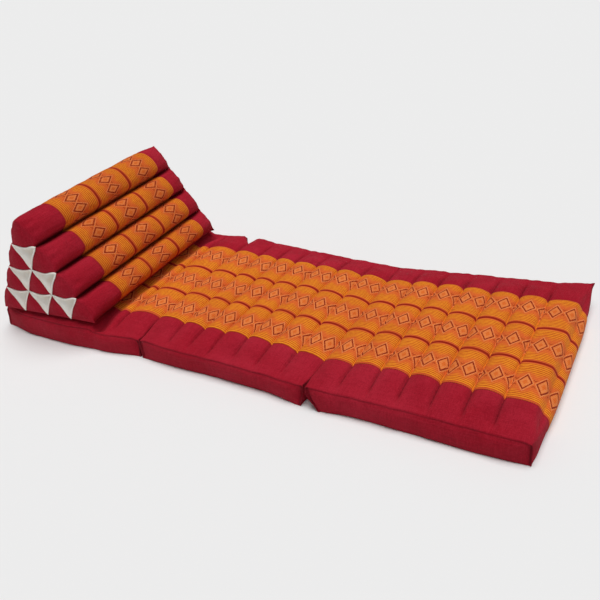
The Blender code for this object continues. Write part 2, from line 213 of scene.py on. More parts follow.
class Weaver:
    # writes a cloth's shader maths as plain calls, each of which adds one node to the tree

    def __init__(self, name, look):
        self.material, self.tree, self.shader = newMaterial(name, look["roughness"], look["sheen"])

    def node(self, kind, **settings):
        made = self.tree.nodes.new(kind)
        for key, value in settings.items():
            setattr(made, key, value)
        return made

    def feed(self, socket, value):
        if isinstance(value, Field):
            self.tree.links.new(value.socket, socket)
        else:
            socket.default_value = value

    def objectPlace(self):
        return Field(self, self.node("ShaderNodeTexCoord").outputs["Object"])

    def clothPlace(self):
        return Field(self, self.node("ShaderNodeUVMap", uv_map="cloth").outputs[0])

    def sum(self, operation, *values):
        made = self.node("ShaderNodeMath", operation=operation)
        for socket, value in zip(made.inputs, values):
            self.feed(socket, value)
        return Field(self, made.outputs[0])

    def step(self, value, start, end):
        # 0 below start and 1 above end, eased between; the other way round where end is below start
        made = self.node("ShaderNodeMapRange", interpolation_type="SMOOTHSTEP")
        low, high, down = min(start, end), max(start, end), end < start
        for number, entry in enumerate((value, low, high, float(down), float(not down))):
            self.feed(made.inputs[number], entry)
        return Field(self, made.outputs[0])

    def blend(self, share, low, high, kind="MIX"):
        made = self.node("ShaderNodeMix", data_type="RGBA", blend_type=kind)
        for socket, value in zip((made.inputs[0], made.inputs[6], made.inputs[7]), (share, low, high)):
            self.feed(socket, value)
        return Field(self, made.outputs[2])

    def noise(self, place, scale, detail=2.0):
        made = self.node("ShaderNodeTexNoise")
        self.feed(made.inputs["Vector"], place)
        made.inputs["Scale"].default_value = scale
        made.inputs["Detail"].default_value = detail
        return Field(self, made.outputs[0])

    def streaks(self, place, scales, detail):
        # noise with a scale of its own along each axis
        return self.noise(self.blend(1.0, place, (*scales, 1.0), "MULTIPLY"), 1.0, detail)

    def split(self, vector):
        made = self.node("ShaderNodeSeparateXYZ")
        self.feed(made.inputs[0], vector)
        return [Field(self, part) for part in made.outputs]

    def bump(self, height, distance, under=None):
        made = self.node("ShaderNodeBump")
        self.feed(made.inputs["Height"], height)
        made.inputs["Distance"].default_value = distance
        if under is not None:
            self.feed(made.inputs["Normal"], under)
        return Field(self, made.outputs[0])

    def sewn(self, colour, look):
        # painted shade: the colour darkened by the piece's own painted shade values, in creases, beside seams
        # and at the cushion's front foot
        drawn = Field(self, self.node("ShaderNodeAttribute", attribute_name="sewn").outputs["Fac"])
        return self.blend(drawn * look["paintedShadeShare"], colour, look["seam"])

    def finish(self, colour, normal=None):
        self.feed(self.shader.inputs["Base Color"], colour)
        if normal is not None:
            self.feed(self.shader.inputs["Normal"], normal)
        return self.material


def shade(r, g, b):
    # a colour as seen, 0 to 255, in linear light
    light = [(c / 255 / 12.92) if c < 10.3 else ((c / 255 + 0.055) / 1.055) ** 2.4 for c in (r, g, b)]
    return (*light, 1.0)


redCloth = dict(
    # the seam colour is the colour of painted shade in creases and beside seams, and of the painted shadow at
    # the cushion's front foot
    ground=shade(171, 22, 42), worn=shade(186, 38, 58), deep=shade(146, 14, 34), seam=shade(70, 4, 12),
    blotch=5.0, shadow=11.5, shadowShare=0.6, grain=240.0, grainShare=0.22,  # noise scales and their shares
    # the last share here is how strongly the painted shade darkens the cloth
    yarn=(9.0, 300.0), yarnShare=0.34, paintedShadeShare=0.85,
    thread=0.0011, weave=0.00022, wrinkle=60.0, wrinkleHeight=0.0008, roughness=0.9, sheen=0.02,
)


def makeRedCotton():
    # plain weave: the product of two sines whose pitch is one thread, over slow patches of fading
    look = redCloth
    w = Weaver("redCotton", look)
    place = w.objectPlace()
    x, y, z = w.split(place)
    colour = w.blend(w.step(w.noise(place, look["blotch"], 3.0), 0.35, 0.75), look["ground"], look["worn"])
    shadow = w.step(w.noise(place, look["shadow"], 2.0), 0.45, 0.85)
    colour = w.blend(shadow * look["shadowShare"], colour, look["deep"])
    turns = 2 * math.pi / look["thread"]
    weave = w.sum("SINE", (x + z) * turns) * w.sum("SINE", (y + z) * turns)
    slub = w.noise(place, look["grain"], 2.0)
    colour = w.blend(w.step(slub, 0.45, 0.75) * look["grainShare"], colour, look["deep"])
    # uneven yarns run along each of the three directions, thin across and long along
    slow, quick = look["yarn"]
    for stretch in ((slow, quick, quick), (quick, slow, quick), (quick, quick, slow)):
        yarn = w.streaks(place, stretch, 1.0)
        colour = w.blend(w.step(yarn, 0.52, 0.70) * look["yarnShare"], colour, look["deep"])
        colour = w.blend(w.step(yarn, 0.46, 0.30) * look["yarnShare"], colour, look["worn"])
    low = w.bump(w.noise(place, look["wrinkle"], 3.0), look["wrinkleHeight"])
    return w.finish(w.sewn(colour, look), w.bump(weave + slub * 1.5, look["weave"], low))


wovenCloth = dict(
    ground=shade(228, 116, 28), gold=shade(242, 152, 38), dusk=shade(172, 70, 22), coral=shade(212, 80, 50),
    # the seam colour is the colour of painted shade in the cushion's creases and of the painted shadow at its
    # front foot
    pale=shade(248, 170, 108), line=shade(140, 20, 10), outline=shade(126, 18, 8), seam=shade(70, 18, 6),
    stripeHalf=0.088, lineHalf=0.0049, outerRow=0.183,  # from the cloth's middle
    alongHalf=0.0194, acrossHalf=0.0322, cell=0.0013,   # a diamond, and the weave's step
    haloHalf=0.050, haloTaper=0.55, haloShare=(0.38, 0.90), speckShare=0.55,
    ribPitch=0.0076, ribBreak=2.6, ribHeight=0.00035, markHeight=0.0006,
    markShare=(0.50, 0.98), knotShare=0.60, edgingShare=0.85, paleShare=(0.02, 0.52), fillShare=0.12,
    # the third share on the next line is how strongly the painted shade darkens the weave
    fadeShare=0.20, fineShare=0.36, paintedShadeShare=0.80, coralShare=0.8, roughness=0.85, sheen=0.02,
)


def makeWoven(name, pitch, panelHalf, markHalf, paintedShadeAllOver):
    # u runs along the cloth and v across it, in metres. A diamond is where 1 - |u|/a - |v|/b is over 0, with
    # a and b its halves along and across; the lines between stripes are bands of v
    look = wovenCloth
    w = Weaver(name, look)
    place = w.clothPlace()
    u, v, _ = w.split(place)
    fine, slow = w.noise(place, 420.0, 2.0), w.noise(place, 9.0, 2.0)

    def ranged(share, key):
        # the share of the way between a pair of values
        low, high = look[key]
        return share * (high - low) + low

    # off = the distance across from the nearest row of diamonds, of which the outer two lie past mid stripe
    aside, half = abs(v), look["stripeHalf"]
    off = v * w.sum("LESS_THAN", aside, half)
    off = off + (aside - look["outerRow"]) * w.sum("GREATER_THAN", aside, half)
    offSize = abs(off)

    # cells of the weave make the outlines stepped
    cell, a, b = look["cell"], look["alongHalf"], look["acrossHalf"]
    du = w.sum("PINGPONG", w.sum("ROUND", u / cell) * cell, pitch / 2)
    dv = abs(w.sum("ROUND", off / cell) * cell)
    inside = (1.0 - (du / a + dv / b)) * (a * b / math.hypot(a, b))

    # ribs of yellow and orange weft along the cloth, clearest away from the diamonds
    rib = w.sum("SINE", v * (2 * math.pi / look["ribPitch"]))
    broken = w.streaks(place, (70.0, 620.0, 1.0), 2.0)
    knots = w.streaks(place, (420.0, 420.0, 1.0), 1.0)
    ribs = rib * (knots * 0.9 + 0.1) + (broken - 0.5) * look["ribBreak"]
    outer = w.step(offSize, 0.030, 0.050)
    colour = w.blend(w.step(ribs, -0.5, 0.6), look["ground"], look["gold"])
    colour = w.blend(w.step(ribs, 0.0, -0.7) * (outer * 0.55 + 0.24), colour, look["dusk"])
    lineShare = w.step(rib, -0.45, -0.95) * (knots * 1.10 + 0.05)
    colour = w.blend(lineShare * (outer * 0.75 + 0.25), colour, look["line"])

    # the row's coral halo, dotted, wider about each diamond's middle
    halo = w.step(look["haloHalf"] - du * look["haloTaper"] - offSize, -0.012, 0.014)
    dots = w.step(w.noise(place, 430.0, 1.0), 0.40, 0.60)
    colour = w.blend(halo * ranged(dots, "haloShare"), colour, look["coral"])
    specks = w.step(w.noise(place, 560.0, 1.0), 0.60, 0.70)
    colour = w.blend(specks * halo * look["speckShare"], colour, look["dusk"])

    # a diamond's fill: gold, with pale yarns inside its edge, and a pale edging outside it
    colour = w.blend(w.step(inside, 0.0, 0.002) * look["fillShare"], colour, look["gold"])
    inner = w.step(abs(inside - 0.0060), 0.0062, 0.0020)
    colour = w.blend(inner * ranged(dots, "paleShare"), colour, look["pale"])
    edging = w.step(abs(inside + 0.0040), 0.0022, 0.0008)
    colour = w.blend(edging * dots * look["edgingShare"], colour, look["pale"])

    # its dark outline, worn in places, and a small dark knot between one diamond and the next
    wear = w.step(w.noise(place, 150.0, 2.0), 0.34, 0.50)
    mark = w.step(abs(inside), markHalf * 1.35, markHalf * 0.80) * ranged(wear, "markShare")
    between = pitch / 2 - du - (dv - 0.0100) * 0.62
    arms = w.step(dv, 0.0090, 0.0100) * w.step(dv, 0.0185, 0.0165)
    knot = w.step(abs(between), 0.0021, 0.0012) * (arms * look["knotShare"])
    colour = w.blend(mark, colour, look["outline"])
    colour = w.blend(knot, colour, look["outline"])

    # dark red lines between the stripes, with coral edges, and a coral edge by each red seam
    toLine, lineHalf = abs(aside - half), look["lineHalf"]
    coralEdge = w.step(toLine, lineHalf + 0.0060, lineHalf + 0.0030)
    seamEdge = w.step(aside, panelHalf - 0.0042, panelHalf - 0.0026)
    colour = w.blend(w.sum("MAXIMUM", coralEdge, seamEdge) * look["coralShare"], colour, look["coral"])
    colour = w.blend(w.step(toLine, lineHalf + 0.0008, lineHalf - 0.0008), colour, look["line"])

    # slow patches of fading, plus painted shade over a whole copy: the triangle cushion's copy of the weave
    # is darkened towards dusk, the mat's is not
    colour = w.blend(w.step(slow, 0.35, 0.75) * look["fadeShare"] + paintedShadeAllOver, colour, look["dusk"])
    colour = w.blend(w.step(fine, 0.48, 0.72) * look["fineShare"], colour, look["dusk"])
    raised = w.bump(w.sum("MAXIMUM", mark, knot), look["markHeight"])
    return w.finish(w.sewn(colour, look), w.bump(ribs * 0.7 + fine, look["ribHeight"], raised))


whiteCloth = dict(
    ground=shade(255, 252, 245), shadow=shade(248, 238, 226), patches=38.0,
    fine=700.0, fineHeight=0.0003, wrinkle=70.0, wrinkleHeight=0.001, roughness=0.85, sheen=0.10,
)


def makeWhiteCotton():
    look = whiteCloth
    w = Weaver("whiteCotton", look)
    place = w.objectPlace()
    colour = w.blend(w.step(w.noise(place, look["patches"], 3.0), 0.4, 0.75), look["ground"], look["shadow"])
    low = w.bump(w.noise(place, look["wrinkle"], 2.0), look["wrinkleHeight"])
    return w.finish(colour, w.bump(w.noise(place, look["fine"], 2.0), look["fineHeight"], low))


redYarn = dict(dark=shade(120, 18, 30), light=shade(160, 34, 44), grain=500.0, roughness=0.6, sheen=0.0)


def makeThread():
    look = redYarn
    w = Weaver("redThread", look)
    return w.finish(w.blend(w.noise(w.objectPlace(), look["grain"], 1.0), look["dark"], look["light"]))


# The mat: three segments of seven sewn channels

mat = dict(
    halfWidth=0.390, topEdge=0.078, rise=0.018, crown=0.004, panelHalf=0.256, panelThick=0.0011,
    border=0.30, archPower=2.1, borderArch=0.10,  # the red border's share of the half width, and its arches
    archEase=(0.86, 1.05), creaseInset=(0.03, 0.08),  # powers of the arches; where creases begin, and deepen
    endSink=0.006, sinkReach=0.03, sideBulge=0.009, sideLump=0.0016, endReach=0.060, cornerReach=0.140,
    sideRound=0.009, footRound=0.006, uprightRound=0.004, endRound=0.034, cornerRound=0.004, gapRound=0.006,
    joinedRound=0.002, seamDip=0.0024, seamHalf=0.0036, crease=0.0080, creaseHalf=0.0034,
    pucker=0.00176, puckerPitch=(0.013, 0.034), puckerFade=(0.0022, 0.011), holdReach=0.10,
    lump=0.0012, lumpPitch=(0.07, 0.22), gatherPitch=(0.030, 0.090), edgePucker=0.0009,
    ridge=0.0016, ridgeHalf=0.0024,  # the seam that stands proud along every sewn edge
    draw=0.0100, underSeam=0.0030,  # how far cloth is drawn in beside an upright seam, and below a long one
    channelSteps=16, gap=0.0078,    # points a channel, and the widest step across
    crowd=0.05,                     # how far the points of a channel move towards its valleys
    ears=dict(foot=[(1, 1)]),       # corners pulled out to a point, by end and side
    ear=(0.006, 0.004, 0.010), earReach=0.010,
    # how strongly painted shade darkens the creases, the sides below the long seams and the upright corners,
    # and the half width of the creases' painted shade
    creaseDark=0.85, edgeDark=0.55, cornerDark=0.90, valleyHalf=0.0022,
    # lines beside a seam: how far from it, and half their width
    underLine=(0.0075, 0.0030), drawnSide=(0.010, 0.006), drawnEnd=(0.012, 0.007),
    # the next two are lines of painted shade, below the long seams and beside the upright corners
    darkEdge=(0.0065, 0.0022), darkCorner=(0.006, 0.0035), skin=0.001,
    floorGather=0.8, gatherReach=(0.22, 0.30),  # gathers at a side's foot, and how far both kinds reach
)
segments = dict(
    head=dict(
        start=-1.073, end=-0.348, valley=0.080, joined=(False, False),
        # how far on the weave starts, and moves on at each valley; fitted to where the diamonds show
        weaveStart=-0.010, sunk=(.011, .011, .011, .011, .011, .011),
        channels=[(.098, .086), (.098, .086), (.098, .086), (.098, .086), (.097, .086), (.097, .085),
                  (.139, .084)],  # width, and height of the valley after it
        # how far the near side stands out at the floor and at the top, and the far side stands out and up
        edges=[(.010, 0, 0, 0), (.031, .022, 0, 0), (.030, .022, 0, 0), (.018, .006, .008, .004),
               (-.004, -.012, .024, .006)],
        # an end's setback at the top, the middle and the floor, and at the near and the far corner
        startEnd=(.012, .000, .006, -.004, .020), endEnd=(.0020, .0025, .006, .000, .040),
    ),
    middle=dict(
        start=-0.348, end=0.360, valley=0.084, joined=(False, True),
        weaveStart=-0.0176, sunk=(.0202, .0059, .0063, .0062, .0170, .0005),
        channels=[(.123, .085), (.092, .084), (.090, .085), (.099, .086), (.096, .085), (.101, .079),
                  (.103, .071)],
        edges=[(-.001, -.012, .020, .007), (0, -.004, .001, .003), (-.003, -.004, -.012, 0),
               (.001, 0, -.019, -.005), (.022, .010, -.019, -.012)],
        startEnd=(.0020, .0025, .006, .000, .006), endEnd=(.0003, .003, .012, .004, .000),
    ),
    foot=dict(
        start=0.360, end=1.073, valley=0.071, joined=(True, False),
        weaveStart=0.0015, sunk=(.0162, .0077, .0060, .004, .003, .003),
        channels=[(.1022, .079), (.0981, .086), (.0935, .086), (.0970, .086), (.0966, .086), (.0921, .087),
                  (.1334, .072)],
        edges=[(.027, .010, -.019, -.012), (.010, .004, -.014, -.004), (.013, .002, -.006, .001),
               (.018, .004, .004, .004), (.012, .006, .028, .007)],
        startEnd=(.0003, .004, .042, .005, .000), endEnd=(.016, .004, .016, .004, .004),
    ),
)
press = dict(
    clear=0.0006, riseAtSide=0.014, sideReach=0.09, footGap=0.012, footReach=0.024, startReach=0.03,
    # the last two: the strength and half width of the painted shadow on the mat along the cushion's front
    # foot
    groove=0.018, grooveHalf=0.020, grooveAhead=0.006, farReach=0.03, contactDark=0.60, contactHalf=0.011,
)


def lineAt(distance, key):
    # a bell about the place that the mat's values give
    at, half = mat[key]
    return bell(distance - at, half)


def channelLine(seg, steps):
    # along a segment: x, the straight height from valley to valley, the share of a channel passed, valleys' x
    widths = np.array([width for width, _ in seg["channels"]])
    widths = widths * (seg["end"] - seg["start"]) / widths.sum()
    bounds = seg["start"] + np.concatenate([[0], np.cumsum(widths)])
    heights = np.array([seg["valley"]] + [height for _, height in seg["channels"]])
    place = np.linspace(0, len(widths), len(widths) * steps + 1)
    part = place - np.floor(place)
    place = np.floor(place) + part - mat["crowd"] * np.sin(2 * np.pi * part)
    knots = np.arange(len(widths) + 1)
    share = place - np.floor(place)
    return np.interp(place, knots, bounds), np.interp(place, knots, heights), share, bounds


def roundOff(first, second, radius):
    # a square edge made round: a point at distances first and second from the edge's two faces moves in by
    # radius (t - sin a) along its own face and radius (1 - cos a) across it, with a an eighth turn times t
    t = np.clip(1 - np.maximum(first, second) / radius, 0, 1)
    angle = t * np.pi / 4
    own = first / np.maximum(first + second, 1e-9)
    slide, drop = radius * (t - np.sin(angle)), radius * (1 - np.cos(angle))
    even = first + second < 1e-9
    own = np.where(even, 0.5, own)
    meet = radius * (1 - np.cos(np.pi / 4))
    return (np.where(even, meet, own * slide + (1 - own) * drop),
            np.where(even, meet, (1 - own) * slide + own * drop))


def pressedTop(top, edge, inset, x, ys):
    # the top eased to the triangle cushion's base, and less a bell-shaped groove at its front foot, which
    # fades past the cushion's far end
    foot, bearing = wedge["frontFoot"][0], wedge["base"] - press["clear"]
    pressed = mix(edge + press["riseAtSide"], bearing, ease(inset / press["sideReach"]))
    under = ease((foot - press["footGap"] - x) / press["footReach"])
    under = (under * ease((x - segments["head"]["start"] + press["footGap"]) / press["startReach"]))[:, None]
    top = np.where(under > 0, np.minimum(mix(top, pressed, under), bearing), top)
    groove = bell(x - (foot + press["grooveAhead"]), press["grooveHalf"])[:, None]
    along = ease((wedge["far"] + press["farReach"] - ys) / press["farReach"])[None, :]
    return top - press["groove"] * groove * along * ease(inset / 0.05)


def segmentTop(name, x, ys, chord, share, valleys):
    # height = edge height eased to the valleys' line, plus crown, plus an arch over each channel, less a
    # crease at each valley, plus puckers beside it and lumps of the filling
    seg, half = segments[name], mat["halfWidth"]
    s = (x - seg["start"]) / (seg["end"] - seg["start"])
    toStart, toStop = x - seg["start"], seg["end"] - x
    # the end edges sink a little, but not where two segments are joined at the top
    sink = mat["endSink"] * ~np.where(toStart < toStop, *seg["joined"])
    sink = sink * (1 - ease(np.minimum(toStart, toStop) / mat["sinkReach"]))
    edge = (mat["topEdge"] - sink)[:, None] * np.ones_like(ys)
    edge = edge + np.where(ys > 0, 1.0, 0.0) * tableAt(seg["edges"], 3, s)[:, None]
    inset = (1 - np.abs(ys / half))[None, :]
    inner = ease(inset / mat["border"])
    flatten, widen = mat["archEase"]
    arch = (1 - np.abs(2 * share - 1) ** mat["archPower"])[:, None] ** mix(1.0, flatten, inner)
    top = mix(edge, chord[:, None], inner) + mat["crown"] * (1 - (ys / half) ** 2)[None, :]
    top = top + mat["rise"] * arch * mix(mat["borderArch"], 1.0, inner ** widen)

    nearest = np.abs(x[:, None] - valleys[None, 1:-1])
    which, away = nearest.argmin(axis=1), nearest.min(axis=1)[:, None]
    hold = ease(inset / mat["holdReach"])
    puckers = ripple(ys, mat["puckerPitch"], len(valleys) - 2)[which]
    start, end = mat["puckerFade"]
    begins, full = mat["creaseInset"]
    top = top - mat["crease"] * bell(away, mat["creaseHalf"]) * ease((inset - begins) / full)
    top = top + mat["pucker"] * puckers * np.exp(-away / end) * (1 - np.exp(-away / start)) * hold
    top = top + mat["lump"] * lumps(x[:, None], ys[None, :], mat["lumpPitch"]) * hold
    dip = bell(np.abs(ys) - mat["panelHalf"], mat["seamHalf"])[None, :]
    top = top - mat["seamDip"] * dip * mix(0.5, 1.0, arch)
    if name == "head":
        top = pressedTop(top, edge, inset, x, ys)

    # small gathers where the top is sewn to the side: two lines for the tops of the sides, two for their feet
    gathers = ripple(x, mat["gatherPitch"], 4)
    sideGather = np.where(ys[None, :] < 0, gathers[0][:, None], gathers[1][:, None])
    top = top + mat["edgePucker"] * 0.6 * sideGather * np.exp(-inset / 0.05)
    return top, puckers, gathers, sideGather, which, away


def shapeSegment(name):
    # x and y = the plan, with bulged sides, ends set back and corners drawn in, and z = the level's share of
    # the top's height. Then all edges are rounded, and the seams stand out and draw the cloth in beside them
    seg, half, seam = segments[name], mat["halfWidth"], mat["panelHalf"]
    x, chord, share, valleys = channelLine(seg, mat["channelSteps"])
    knots = [0.0, 0.084, 0.088, 0.092, seam - 0.006, seam - 0.003, seam, seam + 0.003, seam + 0.006,
             half - 0.018, half - 0.012, half - 0.006, half - 0.002, half]
    right = spaced(knots, mat["gap"])
    ys = np.concatenate([-right[:0:-1], right])
    level = np.array([0, .02, .05, .10, .17, .26, .36, .46, .56, .66, .75, .82, .88, .93, .97, 1.0])
    number, quads = boxGrid(len(x), len(ys), len(level))
    i, j, k = np.nonzero(number >= 0)
    px, across, lev, onTop = x[i], ys[j] / half, level[k], k == len(level) - 1
    sideways, inset, belly = np.sign(across), 1 - np.abs(across), 4 * lev * (1 - lev)
    top, puckers, gathers, sideGather, which, away = segmentTop(name, x, ys, chord, share, valleys)

    # plan of the sides, and the short ends' setback
    s = (x - seg["start"]) / (seg["end"] - seg["start"])
    near = mix(tableAt(seg["edges"], 0, s)[i], tableAt(seg["edges"], 1, s)[i], lev)
    far = tableAt(seg["edges"], 2, s)[i] * mix(0.4, 1.0, lev)
    bulge = mat["sideBulge"] * belly * ease(np.minimum(s, 1 - s) / 0.12)[i]
    bulge = bulge + lumps(px, lev * 0.08, (0.06, 0.20)) * mat["sideLump"] * belly
    atFloor, atTop = mat["gatherReach"]
    gather = mat["floorGather"] * np.where(across < 0, gathers[2][i], gathers[3][i]) * np.exp(-lev / atFloor)
    gather = gather + sideGather[i, j] * np.exp(-(1 - lev) / atTop)
    py = across * (half + np.where(across < 0, near, far) + bulge + mat["edgePucker"] * gather * (lev > 0))
    height = top[i, j]
    pz = lev * height

    def setback(values):
        upper, middle, floor, nearCorner, farCorner = values
        hollow = (middle - (upper + floor) / 2) * belly * ease(inset / 0.6)
        corner = np.where(across < 0, nearCorner, farCorner) * (1 - ease(inset / mat["cornerReach"]))
        return mix(floor, upper, ease(lev / 0.7)) + hollow + corner

    px = px + (1 - ease((x - seg["start"]) / mat["endReach"]))[i] * setback(seg["startEnd"])
    px = px - (1 - ease((seg["end"] - x) / mat["endReach"]))[i] * setback(seg["endEnd"])

    # rounded edges: long top edges, floor edges, the ends' top and floor edges, and upright corners
    toSide, toTop, toFloor = inset * half, (1 - lev) * height, lev * height
    toStart, toStop = (x - seg["start"])[i], (seg["end"] - x)[i]
    toShort, outX = np.minimum(toStart, toStop), np.where(toStart < toStop, 1.0, -1.0)
    inY, inZ = roundOff(toSide, toTop, mat["sideRound"])
    py, pz = py - sideways * inY, pz - inZ
    inY, inZ = roundOff(toSide, toFloor, mat["footRound"])
    py, pz = py - sideways * inY, pz + inZ * (lev > 0)
    # the foot end is a full round that narrows to a crisp corner at each side; a joined edge is closed
    outward = mix(mat["cornerRound"], mat["endRound"], ease(inset / 0.30 - 0.04))
    atGap = np.where(np.where(toStart < toStop, *seg["joined"]), mat["joinedRound"], mat["gapRound"])
    inX, inZ = roundOff(toShort, toTop, np.where((name == "foot") & (toStop < toStart), outward, atGap))
    px, pz = px + outX * inX, pz - inZ
    inX, inZ = roundOff(toShort, toFloor, mat["footRound"])
    px, pz = px + outX * inX, pz + inZ * (lev > 0)
    inX, inY = roundOff(toShort, toSide, mat["uprightRound"])
    px, py = px + outX * inX, py - sideways * inY

    # a seam stands out along the long top edges and the upright corners
    proud = mat["ridge"] * bell(toSide + toTop, mat["ridgeHalf"])
    py, pz = py + sideways * proud, pz + 0.7 * proud
    under = mat["underSeam"] * lineAt(toTop, "underLine") * bell(toSide, 0.002)
    py = py - sideways * under * ease(toShort / 0.03)
    proud = mat["ridge"] * bell(toSide + toShort, mat["ridgeHalf"])
    px, py = px - outX * proud, py + sideways * proud
    # and draws the cloth in beside it, on the side and on the end
    drawn = mat["draw"] * belly * mix(0.6, 1.0, lumps(px, lev * 0.08, (0.02, 0.05)) * 0.5 + 0.5)
    py = py - sideways * drawn * lineAt(toShort, "drawnSide") * bell(toSide, 0.004)
    px = px + outX * drawn * lineAt(toSide, "drawnEnd") * bell(toShort, 0.004)
    for endWise, sideWise in mat["ears"].get(name, ()):
        fromEar = (toStart if endWise < 0 else toStop) + np.where(across * sideWise > 0, toSide, 1.0) + toTop
        pull = bell(fromEar, mat["earReach"])
        outBy, sideBy, upBy = mat["ear"]
        px, py, pz = px + endWise * outBy * pull, py + sideWise * sideBy * pull, pz + upBy * pull

    # painted shade: the cloth is darkened along creases, which end at uneven places, below the long seams and
    # at the corners, and a painted shadow lies under the triangle cushion's front foot
    reach = (0.085 + 0.050 * ripple(np.array([0.0, 1.0]), (2.1, 7.3), len(valleys) - 2))[which]
    reach = np.where(across < 0, reach[i, 0], reach[i, 1])
    valley = bell(away[i, 0], mat["valleyHalf"]) * ease((inset - reach) / 0.09) * onTop
    valley = valley * mix(0.45, 1.0, ease(puckers[i, j] * 0.5 + 0.5))
    onSide, onEnd = toSide < mat["skin"], toShort < mat["skin"]
    edgeLine = lineAt(toTop, "darkEdge") * onSide
    cornerLine = lineAt(toShort, "darkCorner") * onSide + lineAt(toSide, "darkCorner") * onEnd
    sewn = mat["creaseDark"] * valley + mat["edgeDark"] * edgeLine
    sewn = sewn + mat["cornerDark"] * cornerLine * ease(lev / 0.1)
    # the painted shadow: a dark band on the head's top along the cushion's front foot, fading past its far
    # end
    paintedContactShadow = bell(px - wedge["frontFoot"][0] + 0.002, press["contactHalf"])
    paintedContactShadow = paintedContactShadow * ease((wedge["far"] + press["farReach"] - py) / press["farReach"])
    paintedContactShadow = press["contactDark"] * paintedContactShadow * (name == "head") * onTop
    return dict(points=np.stack([px, py, pz], -1), quads=quads, number=number, ys=ys, x=x, level=level,
                valleys=valleys, sewn=np.maximum(np.clip(sewn, 0, 1), paintedContactShadow), paintedContactShadow=paintedContactShadow)


def panelNumbers(shape, levels):
    # the cover's points under a woven panel: up the start end, along the top, down the far end
    number, ys = shape["number"], shape["ys"]
    cols = np.nonzero(np.abs(ys) <= mat["panelHalf"] + 1e-6)[0]
    rows = [number[0, cols, k] for k in levels]
    rows += [number[i, cols, -1] for i in range(number.shape[0])]
    rows += [number[-1, cols, k] for k in levels[::-1]]
    return np.array(rows)


wedge = dict(
    apex=(-0.760, 0.510), backFoot=(-1.024, 0.110), frontFoot=(-0.542, 0.110), base=0.1020,  # x and height
    near=-0.414, far=0.352, panelHalf=0.267, skew=0.0633, slope=0.024,
    bulge=0.036, roundness=2.2, fullness=0.78, hang=0.84,
    # creases: how deep and wide, the front foot's tuck, and the strength and half width of the painted shade
    # in them
    crease=0.034, creaseHalf=0.085, tuck=0.046, tuckHalf=0.17, creaseDark=0.6, darkHalf=0.040,
    steps=16, rows=4, gap=0.009, weaveStart=0.0075, tubeWeave=0.190,  # the cloth that each tube takes
    endRound=0.070, puff=0.012, pocket=0.038, sagDown=0.010, sagIn=0.006, panelThick=0.0011,
    lump=0.0012, lumpPitch=(0.06, 0.20), pucker=0.0016, puckerPitch=(0.014, 0.036), puckerFade=(0.03, 0.10),
    gather=0.0048, gatherPitch=(0.022, 0.048), gatherAt=0.018, gatherHalf=0.022,
    lumpReach=0.2, gatherReach=0.12,  # from a crease, as shares of a tube
    pocketEdge=(0.20, 0.60, 0.20),  # how soon a pocket is deep from its top edge, slope and right edge
)

thread = dict(
    pitch=0.0065, halfLength=0.0021, radius=0.00045, lift=0.0015,
    fromSide=0.045, valleyFromFoot=0.02, seamFromFoot=0.03,  # how far stitching keeps off side and cushion
)

redCotton = makeRedCotton()
wovenPanel = makeWoven("wovenPanel", pitch=0.0525, panelHalf=mat["panelHalf"], markHalf=0.0019, paintedShadeAllOver=0.0)
# the cushion's weave is the mat's cloth darkened all over, as painted shade
wedgeWovenShaded = makeWoven("wovenWedgeShaded", pitch=0.0508, panelHalf=wedge["panelHalf"], markHalf=0.0026, paintedShadeAllOver=0.16)
whiteCotton, redThread = makeWhiteCotton(), makeThread()
print("cloths ready")

headShape, stitchPaths = None, []
for name in segments:
    shape = shapeSegment(name)
    headShape = shape if name == "head" else headShape
    title = name.capitalize()
    # the cover carries the painted shade and the painted shadow
    cover = addPiece(f"cover{title}", shape["points"], [shape["quads"]], redCotton,
                     sewn=shape["sewn"])
    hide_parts(f"mat_{name}")
    under = panelNumbers(shape, range(2, len(shape["level"]) - 1))
    grid = shape["points"][under]
    passed = ease((grid[:, :, 0].mean(axis=1)[:, None] - shape["valleys"][1:-1]) / 0.012 + 0.5)
    moved = (passed * np.array(segments[name]["sunk"])).sum(axis=1) + segments[name]["weaveStart"]
    # the woven panel takes only the painted shadow at the cushion's front foot
    addSheet(f"panel{title}", f"band_{name}", grid, mat["panelThick"], wovenPanel,
             woven=lambda along: along + moved, sewn=shape["paintedContactShadow"][under])

    # stitches run along the valleys and the panel's seams, but not under the triangle cushion
    xs, ys, foot = shape["x"], shape["ys"], wedge["frontFoot"][0]
    valleyRows = [int(np.abs(xs - place).argmin()) for place in shape["valleys"][1:-1]]
    valleyRows = [row for row in valleyRows if name != "head" or xs[row] > foot + thread["valleyFromFoot"]]
    seamColumns = [int(np.abs(ys - place).argmin()) for place in (-mat["panelHalf"], mat["panelHalf"])]
    clear = np.abs(ys) < mat["halfWidth"] - thread["fromSide"]
    inView = xs > (foot + thread["seamFromFoot"] if name == "head" else segments[name]["start"])
    stitchPaths += [shape["points"][shape["number"][row, clear, -1]] for row in valleyRows]
    stitchPaths += [shape["points"][shape["number"][inView, column, -1]] for column in seamColumns]
    print("segment", name, len(shape["points"]), "points")


# Stitches along every valley and panel seam, all in one piece

